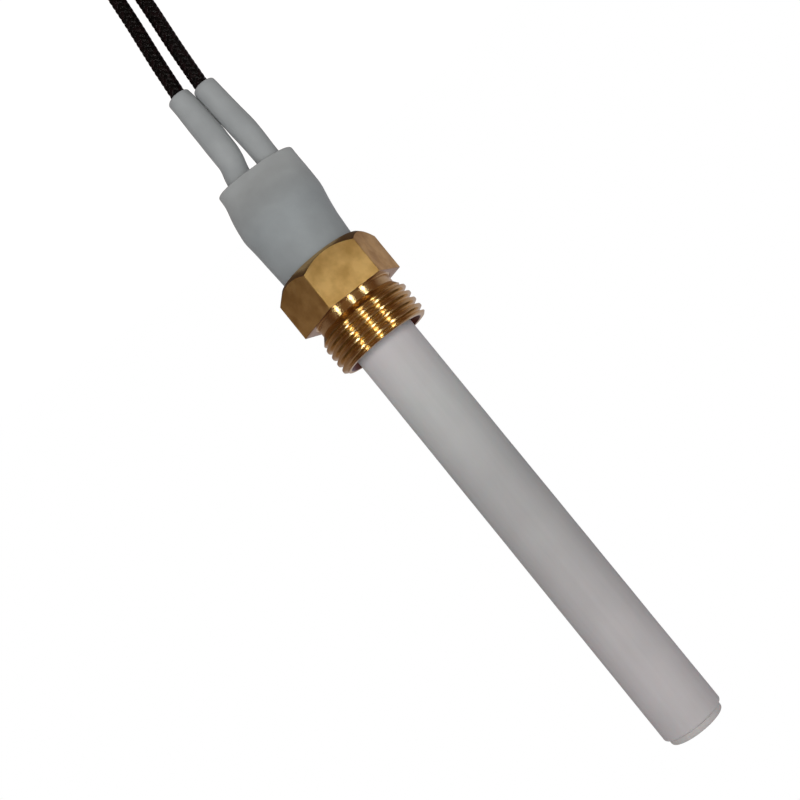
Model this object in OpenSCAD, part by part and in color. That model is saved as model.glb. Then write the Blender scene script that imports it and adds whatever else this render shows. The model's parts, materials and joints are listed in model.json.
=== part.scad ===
// Ceramic igniter probe: a hot ceramic rod in a brass pipe fitting, with two flexible leads.
// +Z runs along the rod towards its hot tip. The origin is the centre of the fitting's
// seating shoulder. Lead b lies on the +X side and lead a on the -X side. Millimetres.

/* [Fitting] */
// Hexagon width across its flats
hex_af = 17; // [16.8:0.1:18]
// Hexagon height
hex_h = 8.4; // [7:0.1:10]
// Turn of the hexagon's corners away from the X axis, in degrees
hex_turn = 49.5; // [0:0.5:59.5]
// Radius of the flat left inside the hexagon's rear chamfer
hex_face_r = 8; // [7.6:0.1:8.4]
// Outside radius of the pipe thread, G 3/8
thread_r = 8.331; // [8.32:0.001:8.34]
// Thread pitch, 19 turns to the inch
pitch = 1.337; // [1.3:0.001:1.35]
// Length from the shoulder to the thread's end face
thread_len = 8.55; // [8.3:0.05:8.8]
// Radius of the relief groove below the shoulder
groove_r = 7.2; // [7:0.05:7.3]
// Width of the relief groove's floor
groove_w = 1.45; // [1.2:0.05:1.6]
// Radius of the cavity round the ceramic
cavity_r = 6.4; // [6.2:0.05:6.5]
// Length of the rear spigot that carries the boot
spigot_len = 4; // [3:0.1:5]
// Outside radius of the rear spigot
spigot_r = 6.15; // [6.05:0.05:6.2]

/* [Ceramic] */
// Outside radius of the core tube
core_r = 4.9; // [4.8:0.05:4.95]
// Radius of the bore through the core tube
core_bore_r = 2.75; // [1.5:0.25:3.5]
// Outside radius of the cover layer
cover_r = 5.45; // [5.4:0.05:5.5]
// Height of the cover layer's hot end above the shoulder
cover_top = 84.7; // [80:0.1:110]
// Length of bare core at the hot tip
core_tip = 1.15; // [0.5:0.05:2]
// Depth of the cover layer's cold end below the shoulder
cover_tail = 20; // [19.8:0.1:20]

/* [Heater] */
// Number of long legs in the heating meander
legs = 8; // [4:4:12]
// Length of the heating meander
meander_len = 28; // [15:1:40]
// Width of each heating leg
leg_w = 1.2; // [0.6:0.1:1.6]

/* [Boot] */
// Wall of the boot
boot_wall = 0.6; // [0.5:0.05:0.65]
// Boot radius where it meets the hexagon
boot_r = 6.95; // [6.85:0.05:7.05]
// Height of the boot's widest place, below the shoulder
boot_wide_z = 19.25; // [19:0.05:19.5]
// Depth of the boot's rear edge below the shoulder
boot_rear_z = 26.6; // [26.4:0.1:26.8]

/* [Small sleeves] */
// Outside radius of small sleeve a
sleeve_a_r = 2.25; // [2.05:0.05:2.3]
// Outside radius of small sleeve b
sleeve_b_r = 2.1; // [2:0.05:2.15]
// Bore radius of both small sleeves
sleeve_bore_r = 1.65; // [1.62:0.01:1.7]
// Depth of small sleeve a's mouth below the shoulder
sleeve_a_mouth = 45; // [44.5:0.1:46]
// Depth of small sleeve b's mouth below the shoulder
sleeve_b_mouth = 43.8; // [43.5:0.1:46]

/* [Leads] */
// Outside radius of a lead's glass braid
lead_r = 1.3; // [1.2:0.05:1.3]
// Radius of a lead's stranded conductor
conductor_r = 0.45; // [0.4:0.01:0.45]
// Depth of both bending points below the shoulder
pivot_z = 51; // [50:0.5:54]
// Lean of lead a away from the axis, in degrees
lean_a = 5.6; // [3:0.1:6]
// Lean of lead b away from the axis, in degrees
lean_b = 4.4; // [3:0.1:6]
// Straight length of a lead beyond its bending point
run_first = 15; // [5:1:40]
// Straight length of a lead before its ferrule
run_last = 12; // [10:1:60]
// Turn of lead a's long curve, in degrees
curve_a = 22; // [18:1:40]
// Turn of lead b's long curve, in degrees
curve_b = 12; // [5:1:16]
// Length of both long curves
curve_len = 36; // [20:1:120]

/* [Hidden] */

$fn = 96;
through = 1;        // how far a cutting tool runs past the solid it cuts
overlap = 0.1;      // how far two shapes of one solid run into each other
joint_gap = 0.02;   // gap between pieces that are cemented, crimped or shrunk together
bend_gap = 0.05;    // running gap at a lead's bending point
seam_h = 0.04;      // length of the thin collar that joins two steps of a path
seam_proud = 0.005; // how far that collar stands out of both walls

// Thread: Whitworth form, 55 degrees between its flanks
thread_depth = 0.856;
crest_w = 0.223;
root_r = thread_r - thread_depth;
flank_w = thread_depth * tan(27.5);
first_crest = 3.2;
runout = 1.55;
end_face_r = 7.9;
mouth_r = 7;
mouth_depth = 1.55;
cavity_floor = -5;
guide_gap = 0.12;   // gap round the ceramic in the fitting's rear bore
guide_r = cover_r + guide_gap;
cement_top = 6.3;
seat_r = 7.65;      // inner radius of the seating face
seat_h = 0.1;       // how far the seating face stands above the groove's foot

// Heater track and contacts, in the thin gap between core and cover
core_overhang = 0.4;    // length of bare core at the cold end
print_gap = 0.1;        // gap between core and cover that holds the track
cover_bore_r = core_r + print_gap;
track_r = [core_r + joint_gap, cover_bore_r - joint_gap];
tip_margin = 2;         // length of cover above the track
track_top = cover_top - tip_margin;
feed_w = 1.2;
feed_tail = 1;          // how far a feed track runs past its via
link_w = 1.2;
slot_w = 2 * core_r * sin(180 / legs) - leg_w;
pad_edge = 0.5;         // length of cover below a pad
pad_margin = 0.3;       // bare length of pad at both ends of the wire and its braze
pad_deg = 50;
pad_len = 4.6;
pad_t = 0.1;
pad_z = -cover_tail + pad_edge;
pad_r = cover_r + joint_gap;
via_r = 0.4;
via_z = pad_z + pad_len / 2;
wire_r = 0.35;
wire_x = pad_r + pad_t + wire_r + joint_gap;
wire_top = pad_z + pad_len - pad_margin;
wire_bend_r = 2.4;
wire_straight = 0.7;    // straight wire below the ceramic, before its first bend
wire_bend_z = -cover_tail - wire_straight;
braze_r = 0.5;
braze_len = 2.4;
braze_z = pad_z + pad_margin;

// Boot: centre, half width and half depth of its widest place and of its flattened rear edge
wide_centre = 0.31;
wide_x = 7.91;
wide_y = 7.6;
rear_centre = 0.95;
rear_x = 7.3;
rear_y = 3.8;
boot_front_z = -hex_h - joint_gap;
spigot_end = -hex_h - spigot_len;
slice = 0.02;       // thickness of the thin discs that a boot section is stretched between
filling_gap = 0.1;  // gap between the filling and the boot's wall
filling_len = 1.6;
filling_recess = 0.8;

// Small sleeves: where each leaves the boot, and how far it steps sideways over its double bend
sleeve_start = -23.6;
sleeve_bend_z = -27;
sleeve_bend_r = 12;
sleeve_a_x = -1.66;
sleeve_b_x = 4.25;
sleeve_a_step = 0.86;
sleeve_b_step = -0.5;

// Crimps and leads
crimp_r = 1.35;
crimp_bore_r = 0.6;
crimp_top = -35;
crimp_len = 6;
butt_gap = 0.4;     // distance from the crimp's middle to the end of each wire in it
crimp_a_x = -0.74;
crimp_b_x = 3.58;
lead_a_x = -0.68;
lead_b_x = 3.45;
insulation_r = lead_r - 0.32;
braid_bore_r = lead_r - 0.3;
insulation_bore_r = conductor_r + 0.05;
braid_start = -41.3;
conductor_start = crimp_top - crimp_len / 2 - butt_gap;
lead_bend_z = -43;
lead_bend_r = 15;

// Lead ends
end_sleeve_len = 7;
end_sleeve_overlap = 5;
end_sleeve_r = 1.65;
ferrule_gap = 0.4;
ferrule_collar_r = 1.1;
ferrule_collar_len = 1.2;
ferrule_taper = 0.4;
ferrule_r = 0.75;
ferrule_bore_r = 0.5;
ferrule_len = 8;
conductor_extra = ferrule_gap + ferrule_collar_len + ferrule_len;

// A path runs down -Z and bends in the XZ plane. Each step is [radius, angle], with a positive
// angle bending towards +X, or [0, length] for a straight.
function step_turn(step) = step[0] == 0 ? 0 : step[1];
function step_end(step) = step[0] == 0
    ? [0, 0, -step[1]]
    : [sign(step[1]) * step[0] * (1 - cos(step[1])), 0, -step[0] * sin(abs(step[1]))];

// Two equal and opposite bends that step a path sideways by dx
function side_step(dx, radius) =
    let (turn = sign(dx) * acos(1 - abs(dx) / (2 * radius)))
    [[radius, turn], [radius, -turn]];
function side_step_drop(dx, radius) = 2 * radius * sin(acos(1 - abs(dx) / (2 * radius)));

// The steps of a lead's fixed tail, from a height z0 to the running gap before its bending point
function tail_steps(z0, lean) =
    let (bend_drop = lead_bend_r * sin(lean))
    [[0, z0 - lead_bend_z], [lead_bend_r, lean],
     [0, (pivot_z + lead_bend_z - bend_drop) / cos(lean) - lead_r - bend_gap]];
// Where a lead's bending point lies across the axis
function pivot_x(x0, lean) =
    let (bend_drop = lead_bend_r * sin(lean))
    x0 + lead_bend_r * (1 - cos(lean)) + (pivot_z + lead_bend_z - bend_drop) * tan(lean);
// The long curve of a lead, as one step that bends towards -X
function long_curve(turn) = [curve_len / turn * 180 / PI, -turn];
// The steps of a lead's moving run, without its ferrule
function run_steps(turn) = [[0, run_first], long_curve(turn), [0, run_last]];

// One step of a path, with the ring of outside radius r and bore radius bore as its section
module path_step(step, r, bore) {
    if (step[0] == 0) {
        translate([0, 0, -step[1]]) linear_extrude(step[1]) ring(r, bore);
    } else {
        mirror([step[1] < 0 ? 1 : 0, 0, 0])
            translate([step[0], 0, 0])
                rotate([90, 0, 0])
                    rotate([0, 0, 180])
                        rotate_extrude(angle = abs(step[1]))
                            translate([step[0], 0])
                                ring(r, bore);
    }
}

module ring(r, bore) {
    difference() {
        circle(r);
        if (bore > 0) circle(bore);
    }
}

// A thin collar across the place where two steps meet, so that they join into one solid
module seam(r, bore) {
    translate([0, 0, -seam_h / 2])
        linear_extrude(seam_h)
            ring(r + seam_proud, max(bore - seam_proud, 0));
}

// A tube or rod along a path
module tube(steps, r, bore = 0, i = 0) {
    path_step(steps[i], r, bore);
    if (i + 1 < len(steps))
        after_step(steps[i]) {
            seam(r, bore);
            tube(steps, r, bore, i + 1);
        }
}

// Puts its children at the end of one step
module after_step(step) {
    translate(step_end(step)) rotate([0, -step_turn(step), 0]) children();
}

// Puts its children at the end of a whole path
module after_path(steps, i = 0) {
    if (i < len(steps)) {
        after_step(steps[i]) after_path(steps, i + 1) children();
    } else {
        children();
    }
}

// A piece of a shell round the axis, from radius r[0] to r[1], angle from to angle to
module arc_piece(r, from, to, z0, z1) {
    rotate([0, 0, from])
        rotate_extrude(angle = to - from)
            translate([r[0], z0])
                square([r[1] - r[0], z1 - z0]);
}

// Fitting

// Half section of the threaded length, with its foot inside the hexagon
module thread_profile() {
    inner_r = cavity_r - through;
    foot = -seat_h - overlap;
    tooth_w = crest_w / 2 + flank_w;
    intersection() {
        polygon([[inner_r, foot], [groove_r, foot], [groove_r, groove_w],
            [thread_r, groove_w + runout],
            [thread_r, thread_len - (thread_r - end_face_r)],
            [end_face_r, thread_len], [inner_r, thread_len]]);
        union() {
            translate([inner_r, foot]) square([root_r - inner_r, thread_len - foot]);
            for (i = [-1:4])
                translate([0, first_crest + i * pitch])
                    polygon([[root_r - overlap, -tooth_w], [root_r, -tooth_w],
                        [thread_r, -crest_w / 2], [thread_r, crest_w / 2],
                        [root_r, tooth_w], [root_r - overlap, tooth_w]]);
        }
    }
}

// Chamfered at its rear, and relieved in front between the groove and the seating face
module hexagon() {
    corner_r = hex_af / 2 / cos(30);
    chamfer = corner_r + through - hex_face_r;
    intersection() {
        translate([0, 0, -hex_h])
            rotate([0, 0, hex_turn])
                cylinder(r = corner_r, h = hex_h, $fn = 6);
        rotate_extrude()
            polygon([[0, -hex_h], [hex_face_r, -hex_h],
                [hex_face_r + chamfer, -hex_h + chamfer], [hex_face_r + chamfer, 0],
                [seat_r, 0], [seat_r, -seat_h], [0, -seat_h]]);
    }
}

module fitting() {
    color("goldenrod")
        difference() {
            union() {
                hexagon();
                rotate_extrude() thread_profile();
                translate([0, 0, spigot_end]) cylinder(r = spigot_r, h = spigot_len);
                // fills the hexagon's middle, so that groove and spigot join one solid
                translate([0, 0, -hex_h]) cylinder(r = spigot_r, h = hex_h + groove_w);
            }
            translate([0, 0, spigot_end - through])
                cylinder(r = guide_r, h = thread_len - spigot_end + 2 * through);
            translate([0, 0, cavity_floor])
                cylinder(r = cavity_r, h = thread_len - cavity_floor + through);
            translate([0, 0, thread_len - mouth_depth])
                cylinder(r1 = cavity_r, r2 = mouth_r, h = mouth_depth);
        }
}

module cement_ring() {
    color("gainsboro")
        translate([0, 0, cavity_floor + joint_gap])
            linear_extrude(cement_top - cavity_floor - joint_gap)
                ring(cavity_r - joint_gap, cover_r + joint_gap);
}

// Ceramic and heater

module core_tube() {
    cold_end = -cover_tail - core_overhang;
    length = cover_top + core_tip - cold_end;
    color("whitesmoke")
        difference() {
            translate([0, 0, cold_end]) cylinder(r = core_r, h = length);
            translate([0, 0, cold_end - through])
                cylinder(r = core_bore_r, h = length + 2 * through);
        }
}

module cover_layer() {
    color("lightgray")
        difference() {
            translate([0, 0, -cover_tail]) cylinder(r = cover_r, h = cover_top + cover_tail);
            translate([0, 0, -cover_tail - through])
                cylinder(r = cover_bore_r, h = cover_top + cover_tail + 2 * through);
            for (side = [0, 180])
                rotate([0, 0, side])
                    translate([core_r, 0, via_z])
                        rotate([0, 90, 0])
                            cylinder(r = via_r + joint_gap, h = cover_r - core_r + through);
        }
}

// A printed sleeve of metal. Slots cut it into a meander of long legs, linked by turns at the
// top and at the bottom, and below the meander only a feed track is left on each side.
module heater_track() {
    bottom = track_top - meander_len;
    foot = via_z - feed_tail;
    color("dimgray")
        difference() {
            translate([0, 0, foot]) linear_extrude(track_top - foot) ring(track_r[1], track_r[0]);
            for (side = [-1, 1])
                translate([-cover_r, side * (cover_r + feed_w / 2) - cover_r, foot - through])
                    cube([2 * cover_r, 2 * cover_r, bottom - foot + through]);
            for (i = [0:legs - 1])
                rotate([0, 0, i * 360 / legs])
                    translate([0, -slot_w / 2, i % 2 == 0 ? bottom + link_w : bottom - through])
                        cube([cover_r, slot_w, i % 2 == 0
                            ? meander_len + through
                            : meander_len - link_w + through]);
        }
}

module track_vias() {
    color("dimgray")
        for (side = [0, 180])
            rotate([0, 0, side])
                translate([cover_bore_r, 0, via_z])
                    rotate([0, 90, 0])
                        cylinder(r = via_r, h = cover_r - cover_bore_r);
}

module contact_pad(side) {
    color("silver")
        arc_piece([pad_r, pad_r + pad_t], side - pad_deg / 2, side + pad_deg / 2,
            pad_z, pad_z + pad_len);
}

module braze(side) {
    color("khaki")
        difference() {
            rotate([0, 0, side])
                translate([wire_x, 0, braze_z])
                    cylinder(r = braze_r, h = braze_len);
            translate([0, 0, braze_z - through])
                cylinder(r = pad_r + pad_t + joint_gap, h = braze_len + 2 * through);
            rotate([0, 0, side])
                translate([wire_x, 0, braze_z - through])
                    cylinder(r = wire_r + joint_gap, h = braze_len + 2 * through);
        }
}

// A nickel wire from a pad, inwards to its small sleeve and on down into the crimp
module terminal_wire(side, sleeve_x, step) {
    start_x = side * wire_x;
    inward = sleeve_x - start_x;
    drop = side_step_drop(inward, wire_bend_r);
    bend_end = wire_bend_z - drop;
    sleeve_drop = side_step_drop(step, sleeve_bend_r);
    steps = concat([[0, wire_top - wire_bend_z]], side_step(inward, wire_bend_r),
        [[0, bend_end - sleeve_bend_z]], side_step(step, sleeve_bend_r),
        [[0, sleeve_bend_z - sleeve_drop - crimp_top + crimp_len / 2 - butt_gap]]);
    color("lightsteelblue") translate([start_x, 0, wire_top]) tube(steps, wire_r);
}

module crimp(x) {
    color("silver")
        translate([x, 0, crimp_top - crimp_len])
            linear_extrude(crimp_len)
                ring(crimp_r, crimp_bore_r);
}

// Boot and sleeves

// A thin disc with its own half width and half depth, stretched from a round one
module oval(centre, half_x, half_y, z) {
    translate([centre, 0, z]) scale([half_x, half_y, 1]) cylinder(r = 1, h = slice, $fn = 64);
}

module boot_shape(inset, front_z, front_r, rear_z) {
    hull() {
        oval(0, front_r, front_r, front_z - slice);
        oval(wide_centre, wide_x - inset, wide_y - inset, -boot_wide_z);
    }
    hull() {
        oval(wide_centre, wide_x - inset, wide_y - inset, -boot_wide_z);
        oval(rear_centre, rear_x - inset, rear_y - inset, rear_z);
    }
}

module boot_sleeve() {
    color("slategray")
        difference() {
            boot_shape(0, boot_front_z, boot_r, -boot_rear_z);
            boot_shape(boot_wall, spigot_end - joint_gap, boot_r - boot_wall, -boot_rear_z - slice);
            translate([0, 0, spigot_end - through])
                cylinder(r = spigot_r + joint_gap, h = spigot_len + 2 * through);
        }
}

// Follows the boot's inner wall, and closes it round the two small sleeves
module rear_filling() {
    inset = boot_wall + filling_gap;
    filling_rear = filling_recess - boot_rear_z;
    color("gray")
        difference() {
            intersection() {
                boot_shape(inset, spigot_end, boot_r - inset, -boot_rear_z);
                translate([-boot_rear_z, -boot_rear_z, filling_rear])
                    cube([2 * boot_rear_z, 2 * boot_rear_z, filling_len]);
            }
            translate([sleeve_a_x, 0, filling_rear - through])
                cylinder(r = sleeve_a_r + joint_gap, h = filling_len + 2 * through);
            translate([sleeve_b_x, 0, filling_rear - through])
                cylinder(r = sleeve_b_r + joint_gap, h = filling_len + 2 * through);
        }
}

module small_sleeve(x, step, r, mouth) {
    bend_end = sleeve_bend_z - side_step_drop(step, sleeve_bend_r);
    steps = concat([[0, sleeve_start - sleeve_bend_z]], side_step(step, sleeve_bend_r),
        [[0, bend_end + mouth]]);
    color("slategray") translate([x, 0, sleeve_start]) tube(steps, r, sleeve_bore_r);
}

// Leads: a fixed tail inside the sleeve, and a moving run from the bending point on

module lead_tail(x, lean, z0, r, bore, paint) {
    color(paint) translate([x, 0, z0]) tube(tail_steps(z0, lean), r, bore);
}

module at_pivot(x, lean) {
    translate([pivot_x(x, lean), 0, -pivot_z]) rotate([0, -lean, 0]) children();
}

// The braid's moving run begins with a dome centred on the bending point
module braid_run(turn) {
    color("black") {
        rotate_extrude()
            union() {
                intersection() {
                    circle(lead_r);
                    square(lead_r);
                }
                translate([braid_bore_r, -run_first])
                    square([lead_r - braid_bore_r, run_first]);
            }
        after_path([[0, run_first]]) {
            seam(lead_r, braid_bore_r);
            tube([long_curve(turn), [0, run_last]], lead_r, braid_bore_r);
        }
    }
}

module inner_run(turn, r, bore, extra, paint) {
    color(paint)
        translate([0, 0, -joint_gap])
            tube([[0, run_first - joint_gap], long_curve(turn), [0, run_last + extra]], r, bore);
}

module end_sleeve(turn) {
    color("slategray")
        after_path(run_steps(turn))
            translate([0, 0, end_sleeve_overlap - end_sleeve_len])
                linear_extrude(end_sleeve_len)
                    ring(end_sleeve_r, lead_r + joint_gap);
}

module ferrule(turn) {
    pin_start = ferrule_collar_len + ferrule_taper;
    color("gold")
        after_path(run_steps(turn))
            translate([0, 0, -ferrule_gap])
                rotate([180, 0, 0])
                    rotate_extrude()
                        polygon([[ferrule_bore_r, 0], [ferrule_collar_r, 0],
                            [ferrule_collar_r, ferrule_collar_len], [ferrule_r, pin_start],
                            [ferrule_r, pin_start + ferrule_len],
                            [ferrule_bore_r, pin_start + ferrule_len]]);
}

fitting();
cement_ring();
core_tube();
cover_layer();
heater_track();
track_vias();
contact_pad(180);  // contact_pad_a
contact_pad(0);  // contact_pad_b
braze(180);  // braze_a
braze(0);  // braze_b
terminal_wire(-1, sleeve_a_x, sleeve_a_step);  // terminal_wire_a
terminal_wire(1, sleeve_b_x, sleeve_b_step);  // terminal_wire_b
crimp(crimp_a_x);  // crimp_a
crimp(crimp_b_x);  // crimp_b
boot_sleeve();
rear_filling();
small_sleeve(sleeve_a_x, sleeve_a_step, sleeve_a_r, sleeve_a_mouth);  // small_sleeve_a
small_sleeve(sleeve_b_x, sleeve_b_step, sleeve_b_r, sleeve_b_mouth);  // small_sleeve_b
lead_tail(lead_a_x, lean_a, conductor_start, conductor_r, 0, "silver");  // conductor_a_tail
lead_tail(lead_a_x, lean_a, braid_start, insulation_r, insulation_bore_r, "ivory");  // insulation_a_tail
lead_tail(lead_a_x, lean_a, braid_start, lead_r, braid_bore_r, "black");  // braid_a_tail
lead_tail(lead_b_x, lean_b, conductor_start, conductor_r, 0, "silver");  // conductor_b_tail
lead_tail(lead_b_x, lean_b, braid_start, insulation_r, insulation_bore_r, "ivory");  // insulation_b_tail
lead_tail(lead_b_x, lean_b, braid_start, lead_r, braid_bore_r, "black");  // braid_b_tail
at_pivot(lead_a_x, lean_a) inner_run(curve_a, conductor_r, 0, conductor_extra, "silver");  // conductor_a
at_pivot(lead_a_x, lean_a) inner_run(curve_a, insulation_r, insulation_bore_r, 0, "ivory");  // insulation_a
at_pivot(lead_a_x, lean_a) braid_run(curve_a);  // braid_a
at_pivot(lead_a_x, lean_a) end_sleeve(curve_a);  // end_sleeve_a
at_pivot(lead_a_x, lean_a) ferrule(curve_a);  // ferrule_a
at_pivot(lead_b_x, lean_b) inner_run(curve_b, conductor_r, 0, conductor_extra, "silver");  // conductor_b
at_pivot(lead_b_x, lean_b) inner_run(curve_b, insulation_r, insulation_bore_r, 0, "ivory");  // insulation_b
at_pivot(lead_b_x, lean_b) braid_run(curve_b);  // braid_b
at_pivot(lead_b_x, lean_b) end_sleeve(curve_b);  // end_sleeve_b
at_pivot(lead_b_x, lean_b) ferrule(curve_b);  // ferrule_b
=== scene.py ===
import json
import math

import bmesh
import bpy
import numpy as np
from mathutils import Matrix, Vector, noise


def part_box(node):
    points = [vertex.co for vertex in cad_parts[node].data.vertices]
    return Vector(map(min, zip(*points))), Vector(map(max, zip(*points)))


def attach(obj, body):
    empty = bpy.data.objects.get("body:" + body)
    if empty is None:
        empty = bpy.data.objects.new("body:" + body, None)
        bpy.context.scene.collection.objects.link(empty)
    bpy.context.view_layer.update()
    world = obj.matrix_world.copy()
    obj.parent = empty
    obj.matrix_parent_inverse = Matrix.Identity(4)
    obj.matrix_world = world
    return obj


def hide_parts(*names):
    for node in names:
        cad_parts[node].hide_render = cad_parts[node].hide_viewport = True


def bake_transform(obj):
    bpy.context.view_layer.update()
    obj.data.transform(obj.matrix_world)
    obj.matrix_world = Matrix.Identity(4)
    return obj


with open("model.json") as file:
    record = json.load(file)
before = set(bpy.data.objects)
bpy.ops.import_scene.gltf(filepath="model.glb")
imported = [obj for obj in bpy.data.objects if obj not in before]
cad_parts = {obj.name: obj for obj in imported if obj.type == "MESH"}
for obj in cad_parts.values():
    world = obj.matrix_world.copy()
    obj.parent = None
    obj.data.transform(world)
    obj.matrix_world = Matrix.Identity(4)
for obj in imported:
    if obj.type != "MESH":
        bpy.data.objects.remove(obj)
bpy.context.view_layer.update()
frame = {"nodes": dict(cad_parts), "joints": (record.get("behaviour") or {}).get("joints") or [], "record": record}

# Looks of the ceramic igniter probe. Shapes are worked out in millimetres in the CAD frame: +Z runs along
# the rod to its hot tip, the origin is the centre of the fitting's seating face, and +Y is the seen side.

MM = 0.001
WELD = 1e-7
record = frame["record"]
mounts = {m["name"]: m for m in record["mounts"]}
joints = {j["name"]: j for j in frame["joints"]}


def box_mm(node):
    """Lowest and highest corner of a CAD node, in millimetres."""
    low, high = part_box(node)
    return low / MM, high / MM


# ---------------------------------------------------------------- mesh tools

def quads(rows, columns, closed=True):
    """Faces of a grid whose rows are rings of points. A closed grid also joins its last row to its first."""
    r, c = np.meshgrid(np.arange(rows if closed else rows - 1), np.arange(columns), indexing="ij")
    next_r, next_c = (r + 1) % rows, (c + 1) % columns
    corners = (r * columns + c, r * columns + next_c, next_r * columns + next_c, next_r * columns + c)
    return np.stack(corners, -1).reshape(-1, 4).tolist()


def caps(rows, columns):
    """The two faces that fill the first and the last row of a grid."""
    return [list(range(columns)), list(range((rows - 1) * columns, rows * columns))]


def piece(name, points, faces, material, sharp=40, attributes=None):
    """A welded solid from points in millimetres, smooth but for edges above the sharp angle, in degrees.

    Attributes are a name and one value per point each, for the material to read.
    """
    points = np.asarray(points, float).reshape(-1, 3) * MM
    mesh = bpy.data.meshes.new(name)
    mesh.from_pydata(points.tolist(), [], faces)
    for key, values in (attributes or {}).items():
        field = mesh.attributes.new(key, "FLOAT", "POINT").data
        field.foreach_set("value", np.ravel(values).astype(np.float32))
    work = bmesh.new()
    work.from_mesh(mesh)
    bmesh.ops.remove_doubles(work, verts=work.verts, dist=WELD)
    bmesh.ops.recalc_face_normals(work, faces=work.faces)
    work.to_mesh(mesh)
    work.free()
    mesh.shade_smooth()
    mesh.set_sharp_from_angle(angle=math.radians(sharp))
    mesh.materials.append(material)
    made = bpy.data.objects.new(name, mesh)
    bpy.context.scene.collection.objects.link(made)
    return made


def turned(profile, angles):
    """Grid of points for a profile of (radius, z) turned about Z, with a ring for each profile point."""
    profile = np.asarray(profile)
    radius, height = profile[:, 0][:, None], profile[:, 1][:, None]
    return np.stack([radius * np.cos(angles), radius * np.sin(angles), height + 0 * angles], -1)


def rounded(corners, steps=4):
    """Closed outline whose corners (x, y, radius) are rounded off, with steps + 1 points at each of them."""
    out = []
    for i, (x, y, radius) in enumerate(corners):
        here = Vector((x, y))
        before = Vector(corners[i - 1][:2]) - here
        after = Vector(corners[(i + 1) % len(corners)][:2]) - here
        half = before.angle(after) / 2
        # two corners may not use up the edge between them
        room = 0.45 * min(before.length, after.length)
        reach = min(radius / math.tan(half), room)
        start, end = here + before.normalized() * reach, here + after.normalized() * reach
        for k in range(steps + 1):
            t = k / steps
            # a quadratic curve with the corner as its control point is near enough to a small arc
            out.append((1 - t) ** 2 * start + 2 * t * (1 - t) * here + t * t * end)
    return [(p.x, p.y) for p in out]


def through(t, stations, column):
    """Smooth curve at t through one column of the stations, which are rows of (t, value, ...), t rising."""
    table = np.array(stations, float)
    x, y = table[:, 0], table[:, column]
    slope = np.gradient(y, x)
    i = np.clip(np.searchsorted(x, t) - 1, 0, len(x) - 2)
    width = x[i + 1] - x[i]
    u = np.clip((t - x[i]) / width, 0, 1)
    return ((1 + 2 * u) * (1 - u) ** 2 * y[i] + u * (1 - u) ** 2 * width * slope[i]
            + u * u * (3 - 2 * u) * y[i + 1] + u * u * (u - 1) * width * slope[i + 1])


def wander(points, size, amount, seed):
    """Smooth random offsets of up to about the amount, one per point, in waves of about the size."""
    flat = points.reshape(-1, 3) / size + seed
    return amount * np.array([noise.noise(Vector(p)) for p in flat]).reshape(points.shape[:-1])


def cut_hole(made, name, x, radius, low, high):
    """Cuts a round hole along Z through a piece, from one height to another."""
    ring = turned([(radius, low), (radius, high)], np.radians(np.arange(0, 360, 5)))
    ring[..., 0] += x
    rows, columns = ring.shape[:2]
    faces = quads(rows, columns, closed=False) + caps(rows, columns)
    cutter = piece(name, ring, faces, made.active_material)
    cut = made.modifiers.new("cut", "BOOLEAN")
    cut.object, cut.operation, cut.solver = cutter, "DIFFERENCE", "EXACT"
    bpy.context.view_layer.update()
    shown = made.evaluated_get(bpy.context.evaluated_depsgraph_get())
    made.data = bpy.data.meshes.new_from_object(shown)
    made.modifiers.clear()
    bpy.data.objects.remove(cutter)


# ---------------------------------------------------------------- material tools

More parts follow.
